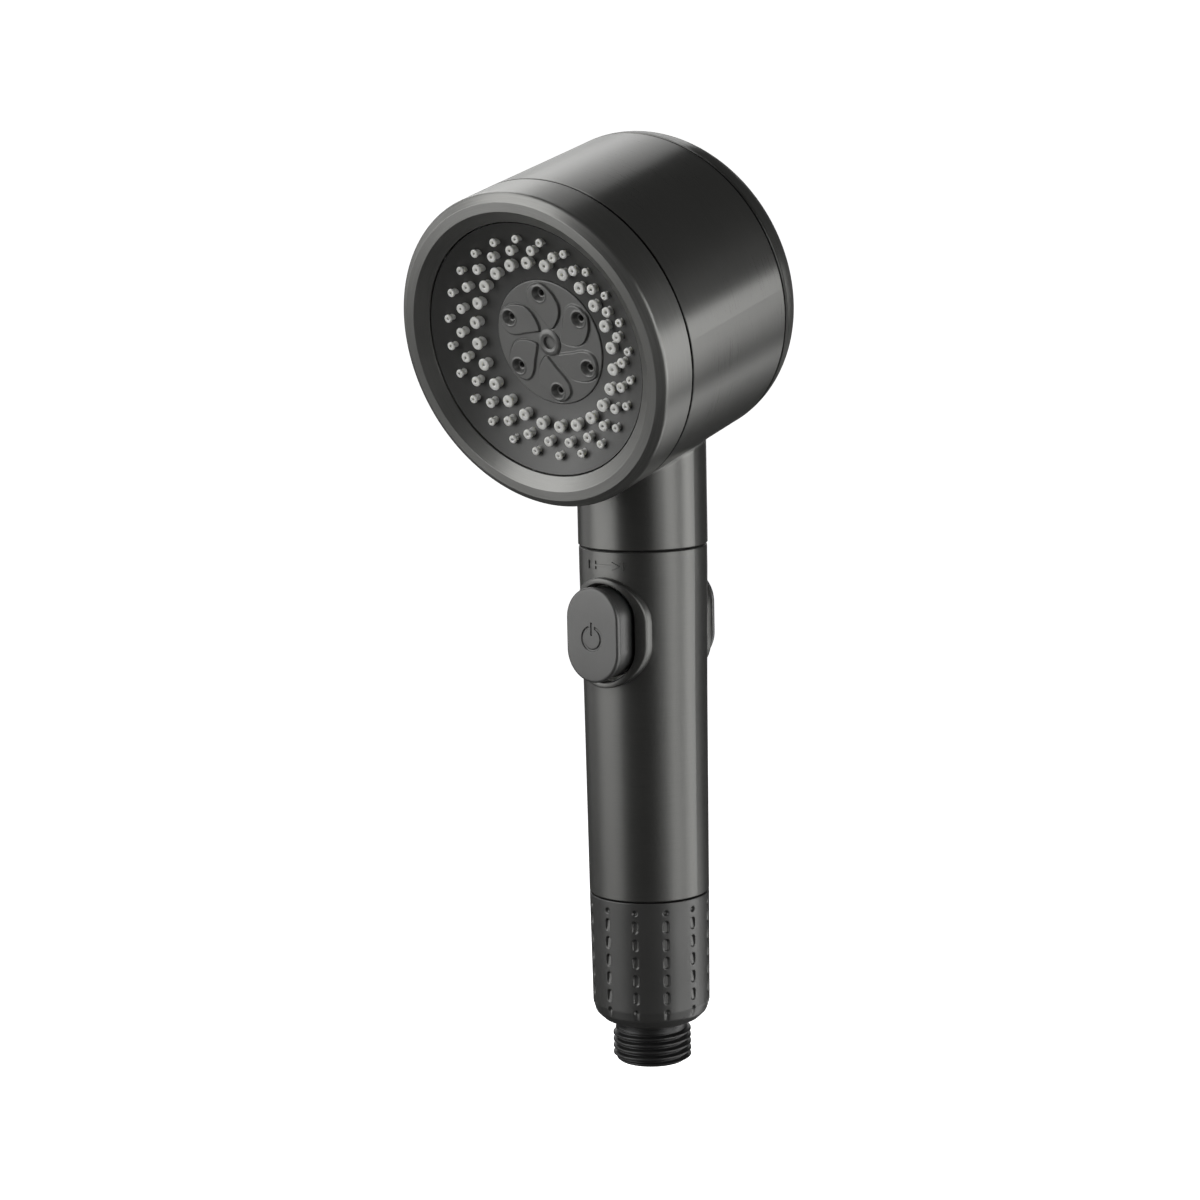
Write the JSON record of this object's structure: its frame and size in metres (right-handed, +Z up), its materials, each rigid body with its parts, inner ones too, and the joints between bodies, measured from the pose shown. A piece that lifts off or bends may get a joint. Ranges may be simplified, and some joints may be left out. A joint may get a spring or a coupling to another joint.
{
  "type": "handheld shower head",
  "caption": "Handheld shower head: deep round head with rotating spray face, two-sided push stop valve, filter in the handle and threaded inlet.",
  "frame": {"origin": "centre of the inlet thread's lower end, where the hose washer seats", "axes": "+Z up the handle axis, -Y the side that the spray face and front button look towards, +X to the right seen from behind"},
  "size_m": [0.083, 0.0825, 0.2476],
  "materials": {
    "satin_gunmetal": "satin gunmetal coating over moulded plastic, very fine circumferential brushing on the drum",
    "brushed_gunmetal": "gunmetal coating with fine circular brushing",
    "face_grey": "fine matte dark grey",
    "nozzle_silicone": "translucent grey silicone",
    "disc_grey": "satin dark grey",
    "button_grey": "satin dark grey with bright worn edge",
    "sleeve_black": "satin near-black grip",
    "thread_black": "semi-gloss black",
    "white_acetal": "natural moulded plastic",
    "black_acetal": "smooth black",
    "black_rubber": "smooth",
    "stainless": "plain",
    "filter_felt": "pressed fibre"
  },
  "bodies": {
    "handset": {"head_housing": "satin_gunmetal", "rear_cover": "satin_gunmetal", "rear_cover_seal": "black_rubber", "water_chamber": "white_acetal", "chamber_seal": "black_rubber", "chamber_screws": "stainless", "diverter_base": "white_acetal", "diverter_screws": "stainless", "port_seal": "black_rubber", "port_spring": "stainless", "detent_ball": "stainless", "detent_spring": "stainless", "retaining_washer": "stainless", "pivot_screw": "stainless", "handle_shell": "satin_gunmetal", "front_button_frame": "satin_gunmetal", "rear_button_frame": "satin_gunmetal", "valve_body": "white_acetal", "riser_tube": "white_acetal", "riser_o_rings": "black_rubber", "neck_o_ring": "black_rubber"},
    "spray_face": {"mode_ring": "brushed_gunmetal", "face_plate": "face_grey", "nozzle_mat": "nozzle_silicone", "centre_disc": "disc_grey", "hub_cap": "disc_grey", "chamber_plate": "white_acetal", "selector_disc": "white_acetal", "face_screws": "stainless", "face_o_ring": "black_rubber"},
    "turbine": {"massage_turbine": "white_acetal"},
    "stop_valve": {"front_button": "button_grey", "rear_button": "button_grey", "valve_spool": "black_acetal", "spool_o_rings": "black_rubber"},
    "filter": {"filter_element": "filter_felt", "filter_top_cap": "white_acetal", "filter_bottom_cap": "white_acetal"},
    "inlet_end": {"grip_sleeve": "sleeve_black", "inlet_fitting": "thread_black", "end_o_ring": "black_rubber", "inlet_screen": "stainless"}
  },
  "joints": [
    {"name": "mode_turn", "type": "hinge", "parent": "handset", "child": "spray_face", "pos_m": [0, -0.03957, 0.19458], "axis": [0, -0.9643, -0.2647], "range_deg": [0, 120]},
    {"name": "turbine_spin", "type": "hinge", "parent": "spray_face", "child": "turbine", "pos_m": [0, -0.03957, 0.19458], "axis": [0, -0.9643, -0.2647], "continuous": true},
    {"name": "valve_push", "type": "slide", "parent": "handset", "child": "stop_valve", "axis": [0, 1, 0], "range_m": [0, 0.003]},
    {"name": "cartridge_draw", "type": "slide", "parent": "handset", "child": "filter", "axis": [0, 0, -1], "range_m": [0, 0.009]},
    {"name": "inlet_turn", "type": "hinge", "parent": "filter", "child": "inlet_end", "pos_m": [0, 0, 0.03], "axis": [0, 0, -1], "range_deg": [0, 1080]}
  ],
  "couplings": [
    {"joint": "inlet_turn", "follows": "cartridge_draw", "rad_per_m": 2094.4}
  ]
}
